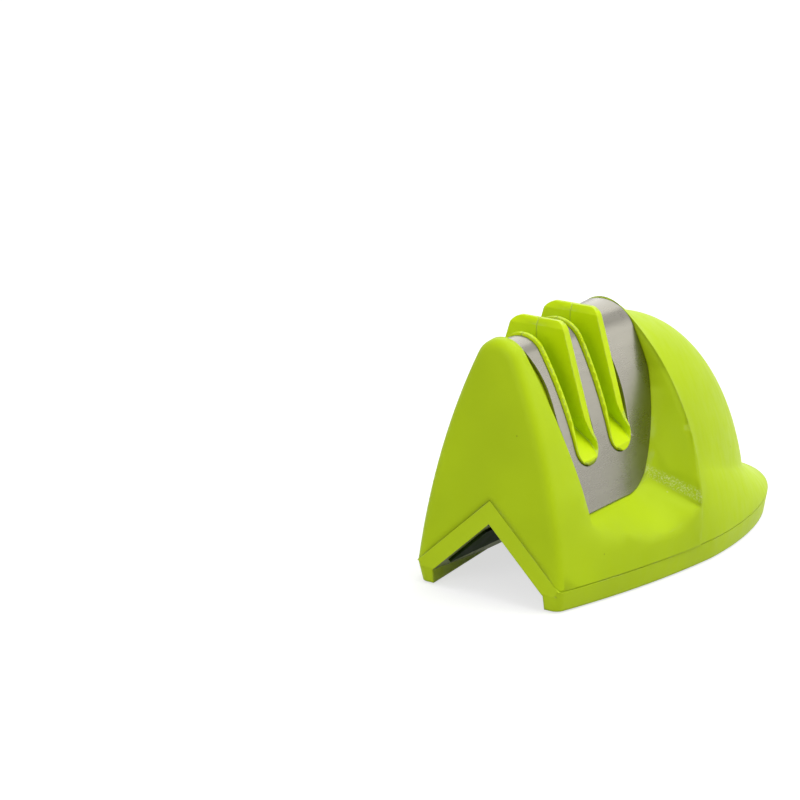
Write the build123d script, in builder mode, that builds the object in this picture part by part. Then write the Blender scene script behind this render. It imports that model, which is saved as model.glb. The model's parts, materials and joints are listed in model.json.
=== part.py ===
from build123d import *
import os
from math import atan, cos, radians, sin, sqrt, tan

os.makedirs("parts", exist_ok=True)

# Pull-through knife sharpener with two stages and a V notch in its base.
# Millimetres. +Z is up and z = 0 is the table top. +X runs from the tall flat front to the
# rounded tail, Y runs across, and the origin lies under the middle of the body. A knife is
# pulled along Y through a slot, down onto a pair of bevelled wheels that turn about X.
# Places along the body are written as distances behind the front face.

# Body as a whole
length = 104.0
foot_proud = 0.4
overrun = 30.0

# Plan outline of the casing at its seam: half widths at the front, part way and at the belly
front_half_width = 18.3
flank_half_width = 23.4
belly_half_width = 26.8
flank_station = 22.0
ridge_station = 44.0
belly_station = 50.0

# Casing walls and the seam between housing and base
wall = 2.3
seam_height = 5.0
seam_gap = 0.15
cover_draft = 0.8
cover_floor = 2.4

# Front wall: a pointed arch that leans back
front_belly_half_width = 13.15
front_belly_height = 29.6
front_apex_height = 63.0
front_tip_radius = 5.4
front_lean = 3.0
front_edge_radius = 2.2
front_skin = 2.8

# Ridge: the arch that faces the knife slots from the tail
flank_belly_half_width = 18.6
flank_apex_height = 61.2
ridge_belly_half_width = 22.7
ridge_belly_height = 33.0
ridge_apex_height = 59.3
ridge_tip_radius = 7.6

# Collar behind the ridge, drawn in towards the dome
collar_length = 20.0
collar_width_share = 0.5
collar_height_share = 0.82

# Dome of the tail
dome_length = 49.5
dome_half_width = 25.6
dome_height = 53.5
scoop_wall = 5.0

# Foot flare round the tail: where its top meets the dome
flare_height = 20.3
flare_slope_share = 0.27
flare_side_inset = 3.3
flare_tail_inset = 11.5
flare_round_height = 11.5
flare_round_slope_share = 0.11
flare_round_side_inset = 0.7
flare_round_tail_inset = 3.6

# Saddle between front wall and ridge, as seen from the side
saddle_side = 17.0
saddle_reach = 28.5
saddle_front_foot = 11.4
saddle_front_top = 4.6
saddle_top = 66.0
floor_height = 18.5
floor_flat_end = 28.0
floor_rise_station = 33.5
floor_rise_height = 19.3
floor_corner_station = 37.5
floor_corner_height = 22.0
scoop_station = 42.4
scoop_height = 31.0
scoop_top_station = 46.0
scoop_top_height = 43.0
scoop_crest_station = 44.0
outer_floor_height = 7.2
outer_flat_end = 30.0
outer_rise_station = 38.5
outer_rise_height = 9.6
outer_corner_station = 43.6
outer_corner_height = 15.9
outer_scoop_station = 44.4
outer_scoop_height = 24.0
outer_top_station = 44.6

# Steel plate bent over the saddle: a pointed arch at the front that widens towards the ridge
plate_thickness = 0.8
plate_base_height = 12.0
plate_belly_height = 32.0
plate_front_half_width = 18.2
plate_front_belly_half_width = 14.3
plate_front_apex_height = 58.9
plate_front_tip_radius = 5.0
plate_rear_half_width = 17.3
plate_rear_belly_half_width = 14.3
plate_rear_apex_height = 68.0
plate_rear_tip_radius = 8.5
plate_start = 5.0
plate_end = 50.0
plate_seat_gap = 0.05
plate_edge_gap = 0.35

# Bridge of the housing under the plate
bridge = 1.6

# Knife slots and the cartridge rims that line them
slot_width = 4.8
slot_station = 15.8
slot_pitch = 13.2
front_rim = 1.0
tail_rim = 2.0
rim_proud = 0.45
rim_foot_height = 28.6
fin_top_height = 57.8
fin_top_half_width = 7.9
fin_waist_half_width = 13.4
fin_waist_height = 34.9
fin_shoulder_radius = 2.6
fin_rise_share = 0.03
rim_gap = 0.25
funnel_run = 0.9
funnel_drop = 1.4
chute_half_width = 10.0
chute_height = 34.7
chute_drop = 3.2
chute_run = 5.2

# Cartridge block inside the bridge
cartridge_front = 8.6
cartridge_tail = 38.6
cartridge_half_width = 10.6
cartridge_bottom = 24.2
cartridge_gap = 0.2
split_gap = 0.06

# Wheels, hubs and axle
axle_radius = 1.5
axle_overhang = 0.8
running_gap = 0.05
thrust_gap = 0.2
wheel_radius = 7.5
groove_radius = 4.2
groove_half_angle = 20.0
wheel_width = 3.4
wheel_pair_gap = 0.3
hub_radius = 2.6
hub_flange = 0.5
hub_flange_radius = 3.6
wheel_seat_gap = 0.02
wheel_rim_chamfer = 0.3
wheel_roof_gap = 1.6
chamber_gap = 0.7
washer_radius = 3.4
washer_thickness = 0.4

# V notch for the table edge
notch_half_width = 18.0
notch_apex_height = 16.5
notch_depth = 60.0
notch_roof = 2.5
notch_leg_half_width = 14.1
notch_leg_station = 32.0
notch_leg_rear_half_width = 18.3
seam_apex_height = 21.7
front_plate = 2.6

# Rubber pads on the faces of the notch
pad_thickness = 1.2
pad_sink = 0.6
pad_start = 3.0
pad_end = 55.0
pad_low_height = 5.2
pad_high_height = 14.0
pad_corner_radius = 1.2

# Feet
foot_thickness = 1.2
foot_width = 3.0
foot_start = 24.0
foot_end = 46.0
foot_side_inset = 6.6
tail_foot_radius = 18.0
tail_foot_station = 74.0
tail_foot_half_angle = 55.0
foot_fit = 0.05

# Screws
base_screw_shank = 1.45
base_screw_head = 2.7
base_screw_head_height = 2.0
base_screw_length = 12.0
base_screw_recess = 0.6
boss_radius = 3.2
boss_height = 45.0
front_screw_station = 54.0
front_screw_inset = 5.4
tail_screw_station = 80.0
tail_screw_side = 11.0
screw_fit = 0.05
socket_radius = 0.9
socket_depth = 1.1
cartridge_screw_shank = 1.2
cartridge_screw_head = 2.1
cartridge_screw_head_height = 1.3
cartridge_screw_height = 40.0
cartridge_screw_tip_gap = 1.5
tail_cartridge_screw = 36.2
cartridge_screw_side = 5.2

# Posts of the base that press the cartridge up against the bridge
post_width = 2.4
post_inner = 6.0
post_outer = 9.6
post_gap = 0.1

# Hollow of the casing beside the saddle, under its floor
floor_hollow_height = 10.3
tail_hollow_inset = 14.0
hollow_end = 42.0
well_half_width = 13.0
well_height = 20.0

# Directions and places worked out from the sizes above
upward = (0, 0, 1)
to_tail = (1, 0, 0)
to_right = (0, -1, 0)
front_x = -length / 2
slot_stations = [slot_station, slot_station + slot_pitch]
middle_web = slot_station + slot_pitch / 2
base_bottom = foot_proud
base_top = seam_height
housing_bottom = seam_height + seam_gap
notch_slope = notch_half_width / notch_apex_height
half_angle = atan(notch_slope)
roof_apex = notch_apex_height + notch_roof / sin(half_angle)
axle_height = roof_apex + wheel_roof_gap + wheel_radius
foot_side = belly_half_width - foot_side_inset
front_screw_side = belly_half_width - front_screw_inset


def at(distance):
    """The x of a place given as its distance behind the front face."""
    return front_x + distance


def across(distance):
    """The plane that cuts the body across at a distance behind the front face."""
    return Plane.YZ.offset(at(distance))


def arch(plane, base_half, base_z, belly_half, belly_z, apex_z, tip_radius, inset=0):
    """Pointed arch with a rounded tip, or a parallel one inside it, on a plane across the body."""
    side = ThreePointArc((base_half, base_z), (belly_half, belly_z), (0, apex_z))
    centre = side.arc_center
    radius = side.radius - inset

    def half_width(z):
        return centre.X + sqrt(radius**2 - (z - centre.Y) ** 2)

    low = base_z + inset
    high = centre.Y + sqrt(radius**2 - centre.X**2)
    middle = (low + high) / 2
    with BuildSketch(plane) as section:
        with BuildLine():
            ThreePointArc((half_width(low), low), (half_width(middle), middle), (0, high))
            ThreePointArc((0, high), (-half_width(middle), middle), (-half_width(low), low))
            Line((-half_width(low), low), (half_width(low), low))
        make_face()
        fillet(section.vertices().sort_by(Axis.Y)[-1], tip_radius - inset)
    return section.sketch


def outline(plane, side_inset=0, tail_inset=0):
    """Plan outline of the casing: flat front with round corners, swelling flanks, round tail."""
    front = at(side_inset)
    with BuildSketch(plane) as plan:
        with BuildLine():
            Line((front, side_inset - front_half_width), (front, front_half_width - side_inset))
            ThreePointArc(
                (front, front_half_width - side_inset),
                (at(flank_station), flank_half_width - side_inset),
                (at(belly_station), belly_half_width - side_inset),
            )
            EllipticalCenterArc(
                (at(belly_station), 0),
                length - belly_station - tail_inset,
                belly_half_width - side_inset,
                start_angle=90,
                arc_size=-180,
            )
            ThreePointArc(
                (at(belly_station), side_inset - belly_half_width),
                (at(flank_station), side_inset - flank_half_width),
                (front, side_inset - front_half_width),
            )
        make_face()
        fillet(plan.vertices().sort_by(Axis.X)[:2], front_edge_radius)
    return plan.sketch


def saddle_profile(distance, foot, flat_end, rise, corner, scoop, top, crest, margin=0):
    """Side view of the open space over the saddle, on a plane along the body."""
    with BuildSketch(Plane.XZ.offset(distance)) as profile:
        with BuildLine():
            low_front = (at(saddle_front_foot + margin), foot + margin)
            low_rear = (at(flat_end), foot + margin)
            back_corner = (at(corner[0] - margin), corner[1] + margin)
            back_top = (at(top[0] - margin), top[1])
            Line(low_front, low_rear)
            ThreePointArc(low_rear, (at(rise[0]), rise[1] + margin), back_corner)
            ThreePointArc(back_corner, (at(scoop[0] - margin), scoop[1]), back_top)
            Line(back_top, (at(crest - margin), saddle_top))
            Line((at(crest - margin), saddle_top), (at(saddle_front_top + margin), saddle_top))
            Line((at(saddle_front_top + margin), saddle_top), low_front)
        make_face()
    return profile.sketch


def inner_saddle(distance, margin=0):
    """Saddle profile beside the plate."""
    return saddle_profile(
        distance,
        floor_height,
        floor_flat_end,
        (floor_rise_station, floor_rise_height),
        (floor_corner_station, floor_corner_height),
        (scoop_station, scoop_height),
        (scoop_top_station, scoop_top_height),
        scoop_crest_station,
        margin,
    )


def outer_saddle(distance):
    """Saddle profile out past the flank, where the floor has dropped and the scoop is upright."""
    return saddle_profile(
        distance,
        outer_floor_height,
        outer_flat_end,
        (outer_rise_station, outer_rise_height),
        (outer_corner_station, outer_corner_height),
        (outer_scoop_station, outer_scoop_height),
        (outer_top_station, scoop_top_height),
        scoop_crest_station,
    )


def plate_arch(station, inset=0):
    """Arch of the steel plate's outer face, or a parallel one inside it."""
    share = (station - plate_start) / (ridge_station - plate_start)

    def blend(front, rear):
        return front + share * (rear - front)

    return arch(
        across(station),
        blend(plate_front_half_width, plate_rear_half_width),
        plate_base_height,
        blend(plate_front_belly_half_width, plate_rear_belly_half_width),
        plate_belly_height,
        blend(plate_front_apex_height, plate_rear_apex_height),
        blend(plate_front_tip_radius, plate_rear_tip_radius),
        inset,
    )


def arch_solid(start, end, inset):
    """Solid under the plate's arch, or under a parallel arch, from one station to another."""
    with BuildPart() as solid:
        loft([plate_arch(0, inset), plate_arch(plate_end, inset)], ruled=True)
        with BuildSketch(across(start)):
            Rectangle(2 * length, 2 * length)
        extrude(amount=end - start, mode=Mode.INTERSECT)
    return solid.part


def fin_top(station):
    """Height of the fin behind one slot."""
    return fin_top_height + fin_rise_share * (station - slot_station)


def rim_solid(station, gap=0):
    """Outside of one cartridge rim, grown by a gap: a low rim that follows the plate, with a
    round foot, and a tall straight-sided fin behind the slot."""
    left = at(station - slot_width / 2 - front_rim - gap)
    right = at(station + slot_width / 2 + tail_rim + gap)
    foot = rim_foot_height - gap
    foot_radius = (right - left) / 2
    top = fin_top(station) + gap
    with BuildPart() as fin:
        with BuildSketch(across(station + slot_width / 2 - gap)) as ends:
            with BuildLine():
                Polyline(
                    (-fin_waist_half_width - gap, fin_waist_height),
                    (fin_waist_half_width + gap, fin_waist_height),
                    (fin_top_half_width + gap, top),
                    (-fin_top_half_width - gap, top),
                    close=True,
                )
            make_face()
            fillet(ends.vertices().group_by(Axis.Y)[-1], fin_shoulder_radius)
        extrude(amount=tail_rim + 2 * gap)
    with BuildPart() as rim:
        with BuildSketch(Plane.XZ):
            with BuildLine():
                Line((left, foot + foot_radius), (left, top + overrun))
                Line((left, top + overrun), (right, top + overrun))
                Line((right, top + overrun), (right, foot + foot_radius))
                ThreePointArc(
                    (right, foot + foot_radius),
                    ((left + right) / 2, foot),
                    (left, foot + foot_radius),
                )
            make_face()
        extrude(amount=overrun, both=True)
        add(arch_solid(plate_start, plate_end, -rim_proud - gap), mode=Mode.INTERSECT)
        add(fin.part)
    return rim.part


def slot_space(station):
    """Space that the blade passes through: a channel with a flared mouth and sloping chutes."""
    left = at(station - slot_width / 2)
    right = at(station + slot_width / 2)
    top = fin_top(station)
    chute_foot = (chute_half_width + chute_run, chute_height - chute_drop)
    with BuildPart() as space:
        with BuildSketch(Plane.XZ):
            Polygon(
                (left, axle_height),
                (right, axle_height),
                (right, top - funnel_drop),
                (right + funnel_run, top),
                (right + funnel_run, top + overrun),
                (left, top + overrun),
                align=None,
            )
        extrude(amount=overrun, both=True)
        with BuildSketch(across(station)):
            Polygon(
                (-chute_half_width, chute_height),
                (chute_half_width, chute_height),
                chute_foot,
                (overrun, chute_foot[1]),
                (overrun, top + overrun),
                (-overrun, top + overrun),
                (-overrun, chute_foot[1]),
                (-chute_foot[0], chute_foot[1]),
                align=None,
            )
        extrude(amount=overrun, both=True, mode=Mode.INTERSECT)
    return space.part


# Open space over the saddle, which gives the front wall its back and the ridge its face
with BuildPart() as saddle_space:
    extrude(inner_saddle(0), amount=saddle_side, dir=to_right)
    loft([inner_saddle(saddle_side), outer_saddle(saddle_reach)], ruled=True)
    mirror(about=Plane.XZ)

# Leaning plane of the front face
front_face = Plane(origin=(front_x, 0, 0), x_dir=(0, 1, 0), z_dir=(front_apex_height, 0, -front_lean))

# Front of the casing, from the front face to the ridge
with BuildPart() as front_casing:
    loft(
        [
            arch(
                across(0),
                front_half_width,
                seam_height,
                front_belly_half_width,
                front_belly_height,
                front_apex_height,
                front_tip_radius,
            ),
            arch(
                across(flank_station),
                flank_half_width,
                seam_height,
                flank_belly_half_width,
                front_belly_height,
                flank_apex_height,
                (front_tip_radius + ridge_tip_radius) / 2,
            ),
            arch(
                across(ridge_station),
                belly_half_width,
                seam_height,
                ridge_belly_half_width,
                ridge_belly_height,
                ridge_apex_height,
                ridge_tip_radius,
            ),
        ]
    )
    split(bisect_by=front_face)
    fillet(front_casing.faces().sort_by(Axis.X)[0].edges().sort_by(Axis.Z)[1:], front_edge_radius)

# Collar behind the ridge
with BuildPart() as collar:
    loft(
        [
            arch(
                across(ridge_station),
                belly_half_width,
                seam_height,
                ridge_belly_half_width,
                ridge_belly_height,
                ridge_apex_height,
                ridge_tip_radius,
            ),
            arch(
                across(ridge_station + collar_length),
                belly_half_width * collar_width_share,
                seam_height,
                ridge_belly_half_width * collar_width_share,
                ridge_belly_height * collar_height_share,
                ridge_apex_height * collar_height_share,
                ridge_tip_radius * collar_width_share,
            ),
        ],
        ruled=True,
    )


def half_dome(front, inset=0):
    """Half of the tail's ellipsoid above the ground, from a distance behind the ridge."""
    side = dome_half_width - inset
    with BuildPart() as half:
        with BuildSketch(Plane.XY):
            with BuildLine():
                EllipticalCenterArc((at(ridge_station), 0), dome_length - inset, side, 0, arc_size=90)
                Line((at(ridge_station), side), (at(ridge_station), 0))
                Line((at(ridge_station), 0), (at(ridge_station) + dome_length - inset, 0))
            make_face()
        revolve(axis=Axis.X, revolution_arc=180)
        scale(by=(1, 1, (dome_height - inset) / side), about=(0, 0, 0))
        split(bisect_by=across(ridge_station + front))
    return half.part


# Flare of the foot round the tail, rising towards the ridge
flare_top = Plane(
    origin=(0, 0, flare_height),
    x_dir=(1, 0, -flare_slope_share),
    z_dir=(flare_slope_share, 0, 1),
)
flare_round = Plane(
    origin=(0, 0, flare_round_height),
    x_dir=(1, 0, -flare_round_slope_share),
    z_dir=(flare_round_slope_share, 0, 1),
)
with BuildPart() as flare:
    loft(
        [
            outline(Plane.XY.offset(seam_height)),
            outline(flare_round, flare_round_side_inset, flare_round_tail_inset),
            outline(flare_top, flare_side_inset, flare_tail_inset),
        ]
    )
    split(bisect_by=across(ridge_station))

# Bosses that take the base screws
screw_places = [
    (at(front_screw_station), front_screw_side),
    (at(front_screw_station), -front_screw_side),
    (at(tail_screw_station), tail_screw_side),
    (at(tail_screw_station), -tail_screw_side),
]

# Hollow inside the casing
bridge_inset = plate_thickness + plate_seat_gap + bridge
with BuildPart() as casing_hollow:
    add(arch_solid(0, hollow_end, bridge_inset))
    with BuildSketch(Plane.XY):
        with Locations((at(ridge_station / 2 + scoop_wall), 0)):
            Rectangle(ridge_station + 2 * scoop_wall, 2 * well_half_width)
    extrude(amount=well_height)
    extrude(outline(Plane.XY, wall, tail_hollow_inset), amount=floor_hollow_height, dir=upward)
    add(half_dome(scoop_wall, wall))
    split(bisect_by=front_face.offset(front_skin))
    with BuildSketch(Plane.XY):
        with Locations(*screw_places):
            Circle(boss_radius)
    extrude(amount=boss_height, mode=Mode.SUBTRACT)

# Upper housing
with BuildPart() as upper_housing:
    add(front_casing.part)
    add(collar.part)
    add(half_dome(0))
    add(flare.part)
    add(saddle_space.part, mode=Mode.SUBTRACT)
    add(arch_solid(plate_start, ridge_station + plate_thickness, plate_thickness + plate_seat_gap))
    add(casing_hollow.part, mode=Mode.SUBTRACT)
    with BuildSketch(Plane.XY.offset(housing_bottom)):
        Rectangle(2 * length, 2 * length)
    extrude(amount=length, mode=Mode.INTERSECT)
    for station in slot_stations:
        add(rim_solid(station, rim_gap), mode=Mode.SUBTRACT)
    with BuildSketch(Plane.YZ.offset(at(-overrun))):
        with BuildLine():
            Polyline(
                (-notch_slope * seam_apex_height, 0),
                (notch_slope * seam_apex_height, 0),
                (0, seam_apex_height + seam_gap),
                close=True,
            )
        make_face()
    extrude(amount=overrun + front_skin + front_lean, mode=Mode.SUBTRACT)
    with BuildSketch(Plane.XY.offset(housing_bottom)):
        with Locations(*screw_places):
            Circle(base_screw_shank + screw_fit)
    extrude(amount=base_screw_length, mode=Mode.SUBTRACT)
upper_housing.part.label = "upper_housing"
export_step(upper_housing.part, "parts/upper_housing.step")


def vee(plane, apex, low):
    """Triangle under the notch's slope, from an apex height down to a low edge."""
    with BuildSketch(plane) as section:
        with BuildLine():
            half = notch_slope * (apex - low)
            Polyline((-half, low), (half, low), (0, apex), close=True)
        make_face()
    return section.sketch


def leg_walls(plane):
    """Plan of the space between the upright inner walls of the two legs."""
    with BuildSketch(plane) as plan:
        with BuildLine():
            Polyline(
                (at(-overrun), notch_leg_half_width),
                (at(0), notch_leg_half_width),
                (at(notch_leg_station), notch_leg_rear_half_width),
                (at(notch_depth), notch_leg_rear_half_width),
                (at(notch_depth), -notch_leg_rear_half_width),
                (at(notch_leg_station), -notch_leg_rear_half_width),
                (at(0), -notch_leg_half_width),
                (at(-overrun), -notch_leg_half_width),
                close=True,
            )
        make_face()
    return plan.sketch


# Space of the V notch, closed by an end wall under the tail
with BuildPart() as notch:
    extrude(
        vee(across(-overrun), notch_apex_height, -notch_apex_height),
        amount=overrun + notch_depth,
        dir=to_tail,
    )
    extrude(leg_walls(Plane.XY.offset(-overrun)), amount=2 * overrun, dir=upward, mode=Mode.INTERSECT)

# The two faces of the notch, each looking into it
pad_low = (notch_apex_height - pad_low_height) / cos(half_angle)
pad_high = (notch_apex_height - pad_high_height) / cos(half_angle)


def notch_face(side):
    """Plane of one notch face: x runs along the body and y points away from the apex."""
    return Plane(
        origin=(0, 0, notch_apex_height),
        x_dir=(-side, 0, 0),
        z_dir=(0, -side * cos(half_angle), -sin(half_angle)),
    )


def pad_outline(plane, side, fit=0):
    """Outline of a notch pad on its face."""
    with BuildSketch(plane) as pad:
        with Locations((-side * (at(pad_start) + at(pad_end)) / 2, (pad_low + pad_high) / 2)):
            RectangleRounded(
                pad_end - pad_start + 2 * fit,
                pad_low - pad_high + 2 * fit,
                pad_corner_radius,
            )
    return pad.sketch


def foot_strip(plane, side, fit=0):
    """Outline of the foot under one leg."""
    with BuildSketch(plane) as strip:
        with Locations((at((foot_start + foot_end) / 2), side * foot_side)):
            SlotOverall(foot_end - foot_start + 2 * fit, foot_width + 2 * fit)
    return strip.sketch


def tail_strip(plane, fit=0):
    """Outline of the curved foot under the tail."""
    with BuildSketch(plane) as strip:
        arc = CenterArc(
            (at(tail_foot_station), 0),
            tail_foot_radius,
            -tail_foot_half_angle,
            2 * tail_foot_half_angle,
            mode=Mode.PRIVATE,
        )
        SlotArc(arc, foot_width + 2 * fit)
    return strip.sketch


# Base cover: a shallow tray with legs, the roof of the notch and the lower front face
pillar_radius = base_screw_head + base_screw_recess + cover_floor / 2
with BuildPart() as cover_pocket:
    extrude(
        outline(Plane.XY.offset(base_bottom + cover_floor), wall, wall),
        amount=seam_height,
        dir=upward,
    )
    extrude(
        vee(across(-overrun), roof_apex, -roof_apex),
        amount=overrun + notch_depth + notch_roof,
        dir=to_tail,
        mode=Mode.SUBTRACT,
    )
    with BuildSketch(Plane.XY):
        with Locations(*screw_places):
            Circle(pillar_radius)
    extrude(amount=boss_height, mode=Mode.SUBTRACT)
with BuildPart() as base_cover:
    loft(
        [
            outline(Plane.XY.offset(base_bottom), cover_draft, cover_draft),
            outline(Plane.XY.offset(base_top)),
        ],
        ruled=True,
    )
    add(cover_pocket.part, mode=Mode.SUBTRACT)
    extrude(
        vee(across(0), roof_apex, base_top - cover_floor / 2),
        amount=notch_depth + notch_roof,
        dir=to_tail,
    )
    extrude(vee(across(0), seam_apex_height, base_top), amount=front_plate, dir=to_tail)
    with BuildSketch(Plane.XY.offset(base_top)):
        for station in [middle_web, tail_cartridge_screw]:
            for side in [1, -1]:
                with Locations((at(station), side * (post_inner + post_outer) / 2)):
                    Rectangle(post_width, post_outer - post_inner)
    extrude(amount=cartridge_bottom - post_gap - base_top)
    add(notch.part, mode=Mode.SUBTRACT)
    split(bisect_by=front_face)
    for side in [1, -1]:
        sunk_face = notch_face(side).offset(-pad_sink)
        extrude(
            pad_outline(sunk_face, side, foot_fit),
            amount=pad_thickness,
            dir=sunk_face.z_dir,
            mode=Mode.SUBTRACT,
        )
        extrude(
            foot_strip(Plane.XY, side, foot_fit),
            amount=foot_thickness,
            dir=upward,
            mode=Mode.SUBTRACT,
        )
    extrude(tail_strip(Plane.XY, foot_fit), amount=foot_thickness, dir=upward, mode=Mode.SUBTRACT)
    with Locations(*[(x, y, base_bottom) for x, y in screw_places]):
        with Locations(Rotation(180, 0, 0)):
            CounterBoreHole(
                base_screw_shank + screw_fit,
                base_screw_head + screw_fit,
                base_screw_recess + base_screw_head_height,
                depth=2 * seam_height,
            )
base_cover.part.label = "base_cover"
export_step(base_cover.part, "parts/base_cover.step")

# Rubber pads of the notch, left of the knife's pull and right of it
for side, name in [(1, "notch_pad_left"), (-1, "notch_pad_right")]:
    with BuildPart() as notch_pad:
        sunk_face = notch_face(side).offset(-pad_sink)
        extrude(pad_outline(sunk_face, side), amount=pad_thickness, dir=sunk_face.z_dir)
    notch_pad.part.label = name
    export_step(notch_pad.part, f"parts/{name}.step")

# Rubber feet
for side, name in [(1, "foot_left"), (-1, "foot_right")]:
    with BuildPart() as foot:
        extrude(foot_strip(Plane.XY, side), amount=foot_thickness, dir=upward)
    foot.part.label = name
    export_step(foot.part, f"parts/{name}.step")
with BuildPart() as foot_tail:
    extrude(tail_strip(Plane.XY), amount=foot_thickness, dir=upward)
foot_tail.part.label = "foot_tail"
export_step(foot_tail.part, "parts/foot_tail.step")


def screw(place, shank, head, head_height, shank_length):
    """Pan-head screw with a square socket; the plane's normal points out of its head."""
    with BuildPart(place) as fastener:
        Cylinder(head, head_height, align=(Align.CENTER, Align.CENTER, Align.MIN))
        fillet(fastener.faces().sort_by(SortBy.AREA)[-1].edges(), head_height / 4)
        Cylinder(shank, shank_length, align=(Align.CENTER, Align.CENTER, Align.MAX))
        with BuildSketch(place.offset(head_height)):
            RegularPolygon(socket_radius, 4)
        extrude(amount=-socket_depth, mode=Mode.SUBTRACT)
    return fastener.part


# Screws that hold the base to the housing
screw_seat = base_bottom + base_screw_recess + base_screw_head_height
with BuildPart() as base_screws:
    for x, y in screw_places:
        head_plane = Plane(origin=(x, y, screw_seat), z_dir=(0, 0, -1))
        add(
            screw(
                head_plane,
                base_screw_shank,
                base_screw_head,
                base_screw_head_height,
                base_screw_length,
            )
        )
base_screws.part.label = "base_screws"
export_step(base_screws.part, "parts/base_screws.step")

# Steel face plate with a cut-out for each rim
with BuildPart() as face_plate:
    add(arch_solid(plate_start, plate_end, 0))
    add(arch_solid(plate_start, plate_end, plate_thickness), mode=Mode.SUBTRACT)
    extrude(inner_saddle(0, plate_edge_gap), amount=overrun, both=True, mode=Mode.INTERSECT)
    for station in slot_stations:
        add(rim_solid(station, rim_gap), mode=Mode.SUBTRACT)
face_plate.part.label = "face_plate"
export_step(face_plate.part, "parts/face_plate.step")

# Cartridge: the block that holds the wheels and stands out in a rim round each slot
hub_half_length = wheel_pair_gap / 2 + wheel_width + hub_flange
chamber_half_length = hub_half_length + 2 * thrust_gap + washer_thickness
web_stations = [middle_web, tail_cartridge_screw]
with BuildPart() as cartridge:
    add(arch_solid(plate_start, plate_end, bridge_inset + cartridge_gap))
    with BuildSketch(Plane.XY.offset(cartridge_bottom)):
        with Locations((at((cartridge_front + cartridge_tail) / 2), 0)):
            Rectangle(cartridge_tail - cartridge_front, 2 * cartridge_half_width)
    extrude(amount=saddle_top, mode=Mode.INTERSECT)
    for station in slot_stations:
        add(rim_solid(station))
    for station in slot_stations:
        add(slot_space(station), mode=Mode.SUBTRACT)
        with BuildSketch(across(station)):
            with Locations((0, axle_height)):
                Circle(wheel_radius + chamber_gap)
        extrude(amount=chamber_half_length, both=True, mode=Mode.SUBTRACT)
    with BuildSketch(across(-overrun)):
        with Locations((0, axle_height)):
            Circle(axle_radius + running_gap)
    extrude(amount=length, mode=Mode.SUBTRACT)
    with BuildSketch(Plane.XZ.offset(-overrun)):
        with Locations(*[(at(station), cartridge_screw_height) for station in web_stations]):
            Circle(cartridge_screw_shank + screw_fit)
    extrude(amount=2 * overrun, mode=Mode.SUBTRACT)
    with BuildSketch(Plane.XZ.offset(cartridge_screw_side)):
        with Locations(*[(at(station), cartridge_screw_height) for station in web_stations]):
            Circle(cartridge_screw_head + screw_fit)
    extrude(amount=overrun, mode=Mode.SUBTRACT)
for side, name in [(1, "cartridge_left"), (-1, "cartridge_right")]:
    with BuildPart() as half:
        add(cartridge.part)
        split(bisect_by=Plane.XZ.offset(-side * split_gap / 2), keep=Keep.BOTTOM if side > 0 else Keep.TOP)
    half.part.label = name
    export_step(half.part, f"parts/{name}.step")

# Screws that clamp the two cartridge halves
with BuildPart() as cartridge_screws:
    screw_side = cartridge_screw_side
    for station in web_stations:
        head_plane = Plane(
            origin=(at(station), -screw_side, cartridge_screw_height),
            z_dir=to_right,
        )
        add(
            screw(
                head_plane,
                cartridge_screw_shank,
                cartridge_screw_head,
                cartridge_screw_head_height,
                2 * screw_side - cartridge_screw_tip_gap,
            )
        )
cartridge_screws.part.label = "cartridge_screws"
export_step(cartridge_screws.part, "parts/cartridge_screws.step")

# Axle, held between the cartridge halves
with BuildPart() as wheel_axle:
    with BuildSketch(across(cartridge_front - axle_overhang)):
        with Locations((0, axle_height)):
            Circle(axle_radius)
    extrude(amount=cartridge_tail - cartridge_front + 2 * axle_overhang)
    chamfer(wheel_axle.edges().filter_by(GeomType.CIRCLE), axle_overhang / 2)
wheel_axle.part.label = "wheel_axle"
export_step(wheel_axle.part, "parts/wheel_axle.step")

# Thrust washers at both ends of each wheel pair
with BuildPart() as thrust_washers:
    for station in slot_stations:
        for start in [
            station - hub_half_length - thrust_gap - washer_thickness,
            station + hub_half_length + thrust_gap,
        ]:
            with BuildSketch(across(start)):
                with Locations((0, axle_height)):
                    Circle(washer_radius)
                    Circle(axle_radius + running_gap, mode=Mode.SUBTRACT)
            extrude(amount=washer_thickness)
thrust_washers.part.label = "thrust_washers"
export_step(thrust_washers.part, "parts/thrust_washers.step")

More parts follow.
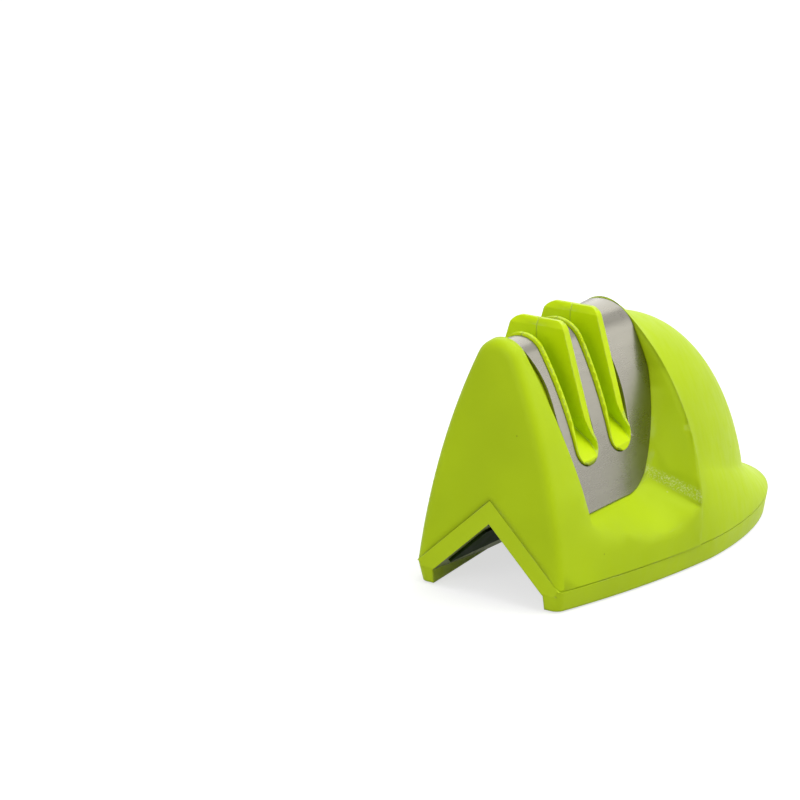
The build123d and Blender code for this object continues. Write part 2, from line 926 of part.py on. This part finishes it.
# Wheel pairs: two bevelled wheels on a hub, whose bevels make a groove for the edge
axle_line = Axis((0, 0, axle_height), to_tail)
bevel_run = (wheel_radius - groove_radius) * tan(radians(groove_half_angle))
for stage, station in zip(["coarse", "fine"], slot_stations):
    with BuildPart() as hub:
        with BuildSketch(across(station - hub_half_length)):
            with Locations((0, axle_height)):
                Circle(hub_radius)
        extrude(amount=2 * hub_half_length)
        with BuildSketch(across(station + hub_half_length - hub_flange)):
            with Locations((0, axle_height)):
                Circle(hub_flange_radius)
        extrude(amount=hub_flange)
        with BuildSketch(across(station - hub_half_length)):
            with Locations((0, axle_height)):
                Circle(axle_radius + running_gap)
        extrude(amount=2 * hub_half_length, mode=Mode.SUBTRACT)
    hub.part.label = f"{stage}_hub"
    export_step(hub.part, f"parts/{stage}_hub.step")
    for side, end in [(-1, "front"), (1, "rear")]:
        inner = at(station) + side * wheel_pair_gap / 2
        outer = inner + side * wheel_width
        bore = axle_height + hub_radius + wheel_seat_gap
        rim_height = axle_height + wheel_radius
        with BuildPart() as wheel:
            with BuildSketch(Plane.XZ):
                Polygon(
                    (inner, bore),
                    (inner, axle_height + groove_radius),
                    (inner + side * bevel_run, rim_height),
                    (outer - side * wheel_rim_chamfer, rim_height),
                    (outer, rim_height - wheel_rim_chamfer),
                    (outer, bore),
                    align=None,
                )
            revolve(axis=axle_line)
        wheel.part.label = f"{stage}_wheel_{end}"
        export_step(wheel.part, f"parts/{stage}_wheel_{end}.step")
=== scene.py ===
import json
import math

import bmesh
import bpy
from mathutils import Matrix, Vector


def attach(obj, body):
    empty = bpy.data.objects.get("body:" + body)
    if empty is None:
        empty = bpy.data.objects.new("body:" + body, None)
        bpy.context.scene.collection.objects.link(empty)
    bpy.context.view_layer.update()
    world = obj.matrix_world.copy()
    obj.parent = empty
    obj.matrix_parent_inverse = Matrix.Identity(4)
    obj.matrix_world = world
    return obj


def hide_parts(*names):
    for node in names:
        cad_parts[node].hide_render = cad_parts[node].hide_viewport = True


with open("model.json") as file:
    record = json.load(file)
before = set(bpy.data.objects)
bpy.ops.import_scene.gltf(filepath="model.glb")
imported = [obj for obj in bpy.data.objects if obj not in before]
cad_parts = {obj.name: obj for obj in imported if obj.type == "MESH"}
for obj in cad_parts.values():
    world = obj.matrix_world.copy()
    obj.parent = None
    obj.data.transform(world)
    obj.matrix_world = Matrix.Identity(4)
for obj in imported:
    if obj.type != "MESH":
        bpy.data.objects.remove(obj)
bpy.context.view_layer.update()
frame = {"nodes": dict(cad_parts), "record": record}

# Metres, in the part's frame: +X towards the rounded tail, +Y across, +Z up
MM = 0.001
NODES = frame["nodes"]


# Shader helpers
class Shader:
    """A node material, built step by step."""

    def __init__(self, name):
        self.material = bpy.data.materials.new(name)
        self.material.use_nodes = True
        self.tree = self.material.node_tree
        self.surface = self.tree.nodes["Principled BSDF"]
        self.place = self.node("ShaderNodeTexCoord").outputs["Object"]

    def node(self, kind, **settings):
        """A new node of a kind, with its settings."""
        made = self.tree.nodes.new(kind)
        for key, value in settings.items():
            setattr(made, key, value)
        return made

    def feed(self, socket, value):
        """Link a socket to a value that is a socket, or set it to a plain value."""
        if isinstance(value, bpy.types.NodeSocket):
            self.tree.links.new(value, socket)
        else:
            socket.default_value = value

    def put(self, name, value):
        """Feed an input of the surface."""
        self.feed(self.surface.inputs[name], value)

    def stretched(self, scale):
        """Place with each axis scaled, for patterns that run along an axis."""
        mapping = self.node("ShaderNodeMapping")
        self.feed(mapping.inputs["Vector"], self.place)
        mapping.inputs["Scale"].default_value = scale
        return mapping.outputs["Vector"]

    def noise(self, size, detail=3.0, roughness=0.5, vector=None, distortion=0.0):
        """Noise whose blotches are about size millimetres across."""
        made = self.node("ShaderNodeTexNoise")
        self.feed(made.inputs["Vector"], self.place if vector is None else vector)
        made.inputs["Scale"].default_value = 1.0 / (size * MM)
        made.inputs["Detail"].default_value = detail
        made.inputs["Roughness"].default_value = roughness
        made.inputs["Distortion"].default_value = distortion
        return made.outputs["Fac"]

    def cells(self, size, randomness=1.0):
        """Distance to the nearest of a scatter of points about size millimetres apart, in cell sizes."""
        made = self.node("ShaderNodeTexVoronoi")
        self.feed(made.inputs["Vector"], self.place)
        made.inputs["Scale"].default_value = 1.0 / (size * MM)
        made.inputs["Randomness"].default_value = randomness
        return made.outputs["Distance"]

    def ramp(self, value, low, high, to_low=0.0, to_high=1.0):
        """Smooth step between two results, as a value goes from low to high."""
        made = self.node("ShaderNodeMapRange")
        made.interpolation_type = "SMOOTHSTEP"
        for socket, given in zip(made.inputs, (value, low, high, to_low, to_high)):
            self.feed(socket, given)
        return made.outputs["Result"]

    def maths(self, operation, first, second=0.0):
        made = self.node("ShaderNodeMath", operation=operation)
        self.feed(made.inputs[0], first)
        self.feed(made.inputs[1], second)
        return made.outputs["Value"]

    def vector_maths(self, operation, first, second=(0.0, 0.0, 0.0), output="Vector"):
        made = self.node("ShaderNodeVectorMath", operation=operation)
        self.feed(made.inputs[0], first)
        self.feed(made.inputs[1], second)
        return made.outputs[output]

    def separate(self, vector):
        """The x, y and z of a vector."""
        made = self.node("ShaderNodeSeparateXYZ")
        self.feed(made.inputs["Vector"], vector)
        return made.outputs["X"], made.outputs["Y"], made.outputs["Z"]

    def mix(self, share, first, second):
        made = self.node("ShaderNodeMix", data_type="RGBA")
        self.feed(made.inputs["Factor"], share)
        self.feed(made.inputs["A"], first)
        self.feed(made.inputs["B"], second)
        return made.outputs["Result"]

    def edges(self, radius):
        """1 along outer and inner edges, within a radius in millimetres, and 0 elsewhere."""
        rounded = self.node("ShaderNodeBevel", samples=6)
        rounded.inputs["Radius"].default_value = radius * MM
        flat = self.node("ShaderNodeNewGeometry").outputs["True Normal"]
        turn = self.vector_maths("DOT_PRODUCT", rounded.outputs["Normal"], flat, output="Value")
        return self.ramp(turn, 0.985, 0.8)

    def crease(self):
        """1 along the crease where the saddle's floor meets the ridge, fading out beside it."""
        near = Vector((-13.6, 17.0, 21.6)) * MM
        far = Vector((-8.6, 27.0, 16.6)) * MM
        x, y, z = self.separate(self.place)
        mirrored = self.node("ShaderNodeCombineXYZ")
        for socket, value in zip(mirrored.inputs, (x, self.maths("ABSOLUTE", y), z)):
            self.feed(socket, value)
        offset = self.vector_maths("SUBTRACT", mirrored.outputs["Vector"], near)
        cross = self.vector_maths("CROSS_PRODUCT", offset, (far - near).normalized())
        distance = self.vector_maths("LENGTH", cross, output="Value")
        return self.ramp(distance, 1.7 * MM, 0.6 * MM)

    def painted_recess_shade(self, depth):
        """Mask for painted shade in gaps: 0 in the open and 1 deep in a gap, for gaps about as wide as a
        depth in millimetres.
        """
        shade = self.node("ShaderNodeAmbientOcclusion", samples=8, only_local=True)
        shade.inputs["Distance"].default_value = depth * MM
        return self.ramp(shade.outputs["AO"], 0.75, 0.15)

    def bump(self, height, distance, rounding):
        """Bump of a height over a distance in millimetres, on edges that look rounded by a radius in
        millimetres. Edges near the parting line stay sharper, and edges near the ground softer."""
        made = self.node("ShaderNodeBump")
        made.inputs["Distance"].default_value = distance * MM
        self.feed(made.inputs["Height"], height)
        seam_rounding = min(rounding, 0.3)
        foot_rounding = min(1.2, 3.0 * rounding)
        z = self.separate(self.place)[2]
        above = self.ramp(z, 6.0 * MM, 10.0 * MM, seam_rounding * MM, rounding * MM)
        below = self.ramp(z, 5.0 * MM, 3.0 * MM, 0.0, foot_rounding * MM)
        bevel = self.node("ShaderNodeBevel", samples=8)
        self.feed(bevel.inputs["Radius"], self.maths("MAXIMUM", above, below))
        self.feed(made.inputs["Normal"], bevel.outputs["Normal"])
        self.put("Normal", made.outputs["Normal"])


def srgb(red, green, blue):
    """Linear colour of an 8-bit screen colour."""

    def linear(value):
        share = value / 255
        return share / 12.92 if share <= 0.04045 else ((share + 0.055) / 1.055) ** 2.4

    return (linear(red), linear(green), linear(blue), 1.0)


def scaled(colour, share):
    """Colour made darker or lighter by a share."""
    return tuple(channel * share for channel in colour[:3]) + (1.0,)


def moulded(
    name, colour, rounding, roughness=0.5, glow=0.06, wear=0.3,
    depth=4.0, dark=0.45, underside_shade=0.0, crease_frost_and_sparkle=False,
):
    """Satin moulded plastic: soft colour drift, fine grain, worn pale edges, dust, painted shade in
    recesses of a depth in millimetres, worn pale chips with painted sparkle along the saddle's crease, and
    painted shade on the notch's slanting faces and other faces that look down."""
    shader = Shader(name)
    drift = shader.noise(24.0, detail=2.0)
    cloud = shader.noise(4.0, detail=4.0)
    grain = shader.noise(0.3, detail=2.0)
    tone = shader.mix(shader.ramp(drift, 0.35, 0.65), scaled(colour, 0.96), scaled(colour, 1.04))
    tone = shader.mix(shader.maths("MULTIPLY", cloud, 0.1), tone, scaled(colour, 0.86))
    shadow_speck = shader.ramp(shader.cells(9.0), 0.03, 0.012)
    tone = shader.mix(shader.maths("MULTIPLY", shadow_speck, 0.5), tone, scaled(colour, 0.3))
    pale = tuple(0.8 * channel + 0.2 for channel in colour[:3]) + (1.0,)
    dust_speck = shader.ramp(shader.cells(11.0, 0.9), 0.026, 0.01)
    tone = shader.mix(shader.maths("MULTIPLY", dust_speck, 0.6), tone, pale)
    worn = shader.maths("MULTIPLY", shader.edges(0.45), shader.ramp(cloud, 0.45, 0.62))
    tone = shader.mix(shader.maths("MULTIPLY", worn, wear), tone, pale)
    # Painted shade: deep recesses darken towards 0.15 of the colour, by the share that dark gives.
    tone = shader.mix(shader.maths("MULTIPLY", shader.painted_recess_shade(depth), dark), tone, scaled(colour, 0.15))
    # Painted shade: faces that look down, such as the notch's slanting faces, darken towards 0.12 of the
    # colour.
    if underside_shade:
        slope = shader.separate(shader.node("ShaderNodeNewGeometry").outputs["Normal"])[2]
        slanting = shader.ramp(slope, -0.3, -0.5, 0.0, underside_shade)
        slanting = shader.maths("MULTIPLY", slanting, shader.ramp(slope, -0.97, -0.9))
        tone = shader.mix(slanting, tone, scaled(colour, 0.12))
    height = grain
    # Pale chips along the saddle's crease: worn plastic, partly a painted sparkle of light.
    if crease_frost_and_sparkle:
        chips = shader.ramp(shader.noise(0.35, detail=3.0, roughness=0.6), 0.42, 0.68)
        patchy = shader.ramp(shader.noise(2.0, detail=2.0), 0.3, 0.6, 0.5, 1.0)
        frost_and_sparkle = shader.maths("MULTIPLY", shader.crease(), shader.maths("MULTIPLY", chips, patchy))
        tone = shader.mix(shader.maths("MULTIPLY", frost_and_sparkle, 0.6), tone, (0.8, 0.86, 0.42, 1.0))
        height = shader.maths("ADD", grain, shader.maths("MULTIPLY", frost_and_sparkle, 0.6))
    shader.put("Base Color", tone)
    scuffs = shader.noise(1.6, detail=6.0, vector=shader.stretched((1.0, 0.35, 0.35)))
    shader.put("Roughness", shader.ramp(scuffs, 0.3, 0.75, roughness - 0.05, roughness + 0.08))
    shader.put("Specular IOR Level", 0.14)
    if glow:
        shader.put("Subsurface Weight", glow)
        shader.put("Subsurface Radius", (1.0, 1.0, 0.25))
        shader.put("Subsurface Scale", 0.0015)
    shader.bump(height, 0.008, rounding=rounding)
    return shader.material


def steel(name, colour, roughness, along):
    """Ground steel: fine lines along the axis that a scale stretches, soft bands and smudges."""
    shader = Shader(name)
    lines = shader.noise(0.09, detail=4.0, roughness=0.6, vector=shader.stretched(along))
    bands = shader.noise(1.6, vector=shader.stretched(along))
    smudge = shader.noise(7.0, detail=4.0, distortion=0.4)
    tone = shader.mix(lines, scaled(colour, 0.9), scaled(colour, 1.06))
    tone = shader.mix(shader.ramp(bands, 0.35, 0.7, 0.0, 0.3), tone, scaled(colour, 0.85))
    tone = shader.mix(shader.ramp(smudge, 0.45, 0.75, 0.0, 0.15), tone, scaled(colour, 1.1))
    shader.put("Base Color", tone)
    shader.put("Metallic", 1.0)
    rough = shader.ramp(smudge, 0.3, 0.7, roughness - 0.02, roughness + 0.03)
    shader.put("Roughness", shader.maths("ADD", rough, shader.maths("MULTIPLY", lines, 0.08)))
    shader.bump(lines, 0.0008, rounding=0.25)
    return shader.material


def rubber(name, colour):
    """Soft dark rubber with a fine grain and dusty patches."""
    shader = Shader(name)
    dust = shader.noise(3.0, detail=5.0)
    grain = shader.noise(0.3, detail=3.0)
    tone = shader.mix(shader.ramp(dust, 0.4, 0.75), colour, scaled(colour, 2.6))
    shader.put("Base Color", tone)
    shader.put("Roughness", shader.ramp(dust, 0.3, 0.7, 0.75, 0.92))
    shader.put("Specular IOR Level", 0.06)
    shader.bump(grain, 0.03, rounding=0.2)
    return shader.material


def abrasive(name, colour, dark, grit, height, roughness):
    """Bonded grit: packed grains in two tones with a rough sparkle."""
    shader = Shader(name)
    grains = shader.cells(grit)
    patch = shader.noise(2.5, detail=4.0)
    tone = shader.mix(shader.ramp(grains, 0.2, 0.75), colour, dark)
    tone = shader.mix(shader.maths("MULTIPLY", patch, 0.35), tone, scaled(dark, 0.8))
    shader.put("Base Color", tone)
    shader.put("Roughness", shader.ramp(grains, 0.1, 0.6, roughness - 0.2, roughness))
    shader.bump(grains, -height, rounding=0.1)
    return shader.material


# Materials of the CAD nodes
lime = srgb(176, 202, 16)
lime_base = srgb(182, 207, 26)
lime_rim = srgb(196, 222, 6)
materials = {
    "housing_plastic": moulded("housing_plastic", lime, rounding=2.4, wear=0.2, crease_frost_and_sparkle=True, depth=8.0),
    # The base carries strong painted shade in its gaps and on its faces that look down, inside the notch.
    "base_plastic": moulded("base_plastic", lime_base, rounding=0.3, depth=18.0, dark=0.95, underside_shade=0.85),
    "cartridge_plastic": moulded(
        "cartridge_plastic", lime_rim, rounding=0.35, roughness=0.42, wear=0.5, dark=0.1
    ),
    "plate_steel": steel("plate_steel", srgb(141, 138, 128), 0.24, (0.06, 1.0, 1.0)),
    "screw_steel": steel("screw_steel", srgb(188, 188, 184), 0.25, (1.0, 1.0, 0.2)),
    "axle_steel": steel("axle_steel", srgb(180, 180, 178), 0.22, (1.0, 0.2, 0.2)),
    # Painted shade: the notch pads' dark green stands in for the shade inside the notch.
    "pad_rubber": rubber("pad_rubber", srgb(20, 33, 5)),
    "foot_rubber": rubber("foot_rubber", srgb(30, 30, 30)),
    "washer_plastic": moulded("washer_plastic", srgb(226, 225, 214), rounding=0.1, wear=0.1),
    "hub_plastic": moulded("hub_plastic", srgb(58, 58, 62), rounding=0.2, glow=0.0),
    "coarse_abrasive": abrasive(
        "coarse_abrasive", srgb(150, 147, 140), srgb(92, 90, 86), 0.16, 0.05, 0.6
    ),
    "fine_ceramic": abrasive("fine_ceramic", srgb(234, 231, 221), srgb(208, 203, 190), 0.09, 0.015, 0.62),
}
for row in frame["record"]["subparts"]:
    slots = NODES[row["node"]].data.materials
    slots.clear()
    slots.append(materials[row["material_slot"]])

# Shaped pieces: copies of CAD nodes with material taken away
WELD = 0.001  # distance in millimetres within which points become one
SHARP = math.radians(28)  # edges that turn by more stay sharp


def closed_mesh(solid):
    """Mesh of a closed solid, with its faces turned outwards. The solid is freed."""
    bmesh.ops.recalc_face_normals(solid, faces=solid.faces)
    mesh = bpy.data.meshes.new("cutter")
    solid.to_mesh(mesh)
    solid.free()
    return mesh


def prism(outline, axis, low, high):
    """Closed prism over an outline in millimetres, along the x or y axis between two places."""
    solid = bmesh.new()
    rings = []
    for place in (low, high):
        points = [(place, a, b) if axis == "x" else (a, place, b) for a, b in outline]
        rings.append([solid.verts.new(tuple(value * MM for value in point)) for point in points])
    solid.faces.new(rings[0])
    solid.faces.new(rings[1])
    for index in range(len(outline)):
        after = (index + 1) % len(outline)
        solid.faces.new((rings[0][index], rings[0][after], rings[1][after], rings[1][index]))
    return closed_mesh(solid)


def carved(name, node, cutters):
    """A copy of a CAD node with cutters taken away, which stands for that node.

    The CAD meshes are split along sharp edges, so they are welded first.
    """
    source = bmesh.new()
    source.from_mesh(NODES[node].data)
    bmesh.ops.remove_doubles(source, verts=source.verts, dist=WELD * MM)
    mesh = bpy.data.meshes.new(name)
    source.to_mesh(mesh)
    source.free()
    piece = bpy.data.objects.new(name, mesh)
    bpy.context.scene.collection.objects.link(piece)
    tools = []
    for cutter in cutters:
        tool = bpy.data.objects.new("cutter", cutter)
        bpy.context.scene.collection.objects.link(tool)
        tools.append(tool)
        modifier = piece.modifiers.new("cut", "BOOLEAN")
        modifier.operation = "DIFFERENCE"
        modifier.solver = "EXACT"
        modifier.object = tool
    shaped = bpy.data.meshes.new_from_object(
        piece.evaluated_get(bpy.context.evaluated_depsgraph_get())
    )
    piece.modifiers.clear()
    piece.data = shaped
    normals = piece.modifiers.new("normals", "WEIGHTED_NORMAL")
    normals.keep_sharp = True
    bpy.data.meshes.remove(mesh)
    for tool in tools:
        bpy.data.meshes.remove(tool.data)
    for polygon in shaped.polygons:
        polygon.use_smooth = True
    shaped.set_sharp_from_angle(angle=SHARP)
    row = next(row for row in frame["record"]["subparts"] if row["node"] == node)
    shaped.materials.clear()
    shaped.materials.append(materials[row["material_slot"]])
    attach(piece, "body")
    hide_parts(node)


# Sizes of the carvings, in millimetres
FRONT = -52.0  # place of the part's front end, from which places along the part are counted
SLOTS = (15.8, 29.0)  # middle of the coarse and of the fine knife slot
HALF_SLOT = 2.4
TAIL_RIM = 2.0  # thickness of a rim behind its slot
FIN_TOP = 57.8
FIN_RISE = 0.03  # by which a fin's top is higher for each millimetre that the fin stands further back
FIN_CORNER = 2.8
FIN_REACH = 5.5  # from the middle of a slot to past the tail side of its fin
PAST = 5.0  # by which a cutter reaches past the top of a fin
STEPS = 16  # in each curve


def fin_trims(station):
    """Cutters that slope a fin's ends in towards its top and round its top corners."""
    top = FIN_TOP + FIN_RISE * (station - SLOTS[0])
    # Half width and height of the end, from the rim up to the fin's foot and its crest
    blend = [(15.6, 32.0), (14.5, 33.0), (13.6, 34.4), (12.9, 36.2)]
    foot = (12.2, 38.5)
    crest = (6.3, top)
    slope = (crest[0] - foot[0]) / (crest[1] - foot[1])
    lean = math.atan(-slope)
    centre_z = top - FIN_CORNER
    centre_y = foot[0] + slope * (centre_z - foot[1]) - FIN_CORNER / math.cos(lean)
    corner_steps = 8
    corner = [
        (centre_y + FIN_CORNER * math.cos(turn), centre_z + FIN_CORNER * math.sin(turn))
        for turn in [lean + step / corner_steps * (math.pi / 2 - lean) for step in range(corner_steps + 1)]
    ]
    outside = 25.0
    ends = blend + [foot] + corner
    ends += [(centre_y, top + PAST), (outside, top + PAST), (outside, blend[0][1])]
    low = FRONT + station
    high = FRONT + station + FIN_REACH
    return [
        prism(ends, "x", low, high),
        prism([(-y, z) for y, z in ends], "x", low, high),
    ]


def chute_cuts(station):
    """Cutters that carry a slot's chute on down to the tip of its rim, one at each end."""
    middle = FRONT + station
    # The round lower end keeps a thin lip inside the rim, which is thicker behind the slot
    radius = 3.65
    centre_x = middle + 0.5
    centre_z = 32.5
    bottom = [
        (centre_x + radius * math.cos(turn), centre_z + radius * math.sin(turn))
        for turn in [-step / STEPS * math.pi for step in range(STEPS + 1)]
    ]
    top = 38.0
    outline = [(middle + HALF_SLOT, top)] + bottom + [(middle - HALF_SLOT, top)]
    inner = 9.8
    outer = 20.0
    inner_height = 34.9
    slope = 1.12
    cutters = []
    for side in (1, -1):
        start, end = sorted((side * inner, side * outer))
        mesh = prism(outline, "y", start, end)
        # The prism's inner end leans outwards going down, and cuts the chute's floor
        for vertex in mesh.vertices:
            if abs(vertex.co.y) < (inner + outer) / 2 * MM:
                vertex.co.y = side * (inner * MM + (inner_height * MM - vertex.co.z) * slope)
        cutters.append(mesh)
    return cutters


def crease_cuts():
    """Cutters that sharpen the crease where the saddle's floor meets the ridge, one at each side."""
    # Place and height of the floor's start, the crease, the wall's top and the open corner, beside
    # the plate and at the part's side. The cutter goes a little past the side.
    inner = [(32.3, 19.3), (38.6, 20.8), (41.3, 30.5), (32.3, 30.5)]
    outer = [(36.4, 9.1), (44.3, 13.2), (44.1, 27.0), (36.4, 27.0)]
    inner_side = 16.9
    outer_side = 28.5
    reach = 1.15
    cutters = []
    for side in (1, -1):
        solid = bmesh.new()
        rings = []
        for share in (0.0, reach):
            place = inner_side + share * (outer_side - inner_side)
            ring = []
            for (x_in, z_in), (x_out, z_out) in zip(inner, outer):
                x = FRONT + x_in + share * (x_out - x_in)
                z = z_in + share * (z_out - z_in)
                ring.append(solid.verts.new((x * MM, side * place * MM, z * MM)))
            rings.append(ring)
        low, high = rings
        solid.faces.new(low)
        solid.faces.new(high)
        for index in range(len(inner)):
            after = (index + 1) % len(inner)
            solid.faces.new((low[index], low[after], high[after]))
            solid.faces.new((low[index], high[after], high[index]))
        cutters.append(closed_mesh(solid))
    return cutters


def plate_edge_cuts():
    """Cutters that set the plate's edges back, from the front wall and from the tail of the fine fin."""
    half_width = 30.0
    height = 20.0
    # The front wall's rear face leans forward going up
    wall_foot = 11.4
    wall_foot_height = 18.5
    wall_lean = 6.8 / 47.5
    edge_low = 38.0
    least_gap = 0.3
    widening = 2.0
    edge = []
    for step in range(STEPS + 1):
        share = step / STEPS
        z = edge_low + share * height
        wall = wall_foot - (z - wall_foot_height) * wall_lean
        edge.append((FRONT + wall + least_gap + widening * math.sin(math.pi * share) ** 1.3, z))
    gap_low = 31.0
    gap_width = 1.2
    tail = FRONT + SLOTS[1] + HALF_SLOT + TAIL_RIM
    gap = [
        (tail + gap_width * math.sin(math.pi * step / STEPS), gap_low + step / STEPS * height)
        for step in range(STEPS + 1)
    ]
    inside = tail - 0.5
    front_outline = [(FRONT, edge_low)] + edge + [(FRONT, edge_low + height)]
    tail_outline = [(inside, gap_low)] + gap + [(inside, gap_low + height)]
    return [prism(outline, "y", -half_width, half_width) for outline in (front_outline, tail_outline)]


for side in ("left", "right"):
    cutters = [cut for station in SLOTS for cut in fin_trims(station) + chute_cuts(station)]
    carved(f"rims_{side}", f"cartridge_{side}", cutters)
carved("plate", "face_plate", plate_edge_cuts())
carved("housing", "upper_housing", crease_cuts())


def seen_rays(node_tree):
    """1 for what the camera sees directly or in gloss or glass, else 0."""
    light_path = node_tree.nodes.new("ShaderNodeLightPath")
    total = light_path.outputs["Is Camera Ray"]
    for name in ("Is Glossy Ray", "Is Transmission Ray"):
        added = node_tree.nodes.new("ShaderNodeMath")
        added.operation = "ADD"
        added.use_clamp = True
        node_tree.links.new(total, added.inputs[0])
        node_tree.links.new(light_path.outputs[name], added.inputs[1])
        total = added.outputs["Value"]
    return total


# Floor: pale, with the object's soft shadow
floor_mesh = bpy.data.meshes.new("floor")
reach = 4.0
floor_mesh.from_pydata(
    [(-reach, -reach, 0), (reach, -reach, 0), (reach, reach, 0), (-reach, reach, 0)], [], [(0, 1, 2, 3)]
)
floor = bpy.data.objects.new("floor", floor_mesh)
bpy.context.scene.collection.objects.link(floor)
white = bpy.data.materials.new("floor_white")
white.use_nodes = True
tree = white.node_tree
paper = tree.nodes["Principled BSDF"]
paper.inputs["Base Color"].default_value = (0.4, 0.4, 0.4, 1.0)
paper.inputs["Roughness"].default_value = 0.9
paper.inputs["Emission Color"].default_value = (1.0, 1.0, 1.0, 1.0)
lift = tree.nodes.new("ShaderNodeMath")
lift.operation = "MULTIPLY"
tree.links.new(seen_rays(tree), lift.inputs[0])
lift.inputs[1].default_value = 0.66
tree.links.new(lift.outputs["Value"], paper.inputs["Emission Strength"])
floor_mesh.materials.append(white)

# World: soft light all round, white where it is seen
world = bpy.data.worlds.new("studio")
bpy.context.scene.world = world
world.use_nodes = True
tree = world.node_tree
sky = tree.nodes["Background"]
level = tree.nodes.new("ShaderNodeMapRange")
tree.links.new(seen_rays(tree), level.inputs["Value"])
level.inputs["To Min"].default_value = 0.5
level.inputs["To Max"].default_value = 1.0
tree.links.new(level.outputs["Result"], sky.inputs["Strength"])
sky.inputs["Color"].default_value = (1.0, 1.0, 1.0, 1.0)


def lamp(name, place, aim, size, power):
    """Square soft lamp at a place in metres, aimed at a point."""
    data = bpy.data.lights.new(name, "AREA")
    data.shape = "SQUARE"
    data.size = size
    data.energy = power
    made = bpy.data.objects.new(name, data)
    made.location = place
    direction = Vector(aim) - Vector(place)
    made.rotation_mode = "QUATERNION"
    made.rotation_quaternion = direction.to_track_quat("-Z", "Y")
    bpy.context.scene.collection.objects.link(made)


middle = (0.0, 0.0, 0.03)
lamp("key", (0.1, -0.25, 0.75), middle, 0.6, 4.0)
lamp("side", (0.45, -0.75, 0.3), middle, 0.6, 2.0)
lamp("front", (-0.8, 0.0, 0.35), middle, 0.5, 2.0)
lamp("back", (0.85, 0.3, 0.6), middle, 0.8, 2.6)

# Camera at the photograph's place
camera_data = bpy.data.cameras.new("camera")
camera_data.sensor_width = 36.0
camera_data.lens = 131.8
camera_data.clip_start = 0.05
camera_data.clip_end = 20.0
camera = bpy.data.objects.new("camera", camera_data)
bpy.context.scene.collection.objects.link(camera)
back = Vector((-0.778, -0.563, 0.276)).normalized()
right = Vector((0.586, -0.81, 0.0))
right = (right - right.dot(back) * back).normalized()
up = back.cross(right)
turn = Matrix((right, up, back)).transposed().to_4x4()
camera.matrix_world = Matrix.Translation((-0.5387, -0.3296, 0.2129)) @ turn
bpy.context.scene.camera = camera
bpy.context.scene.view_settings.view_transform = "Standard"
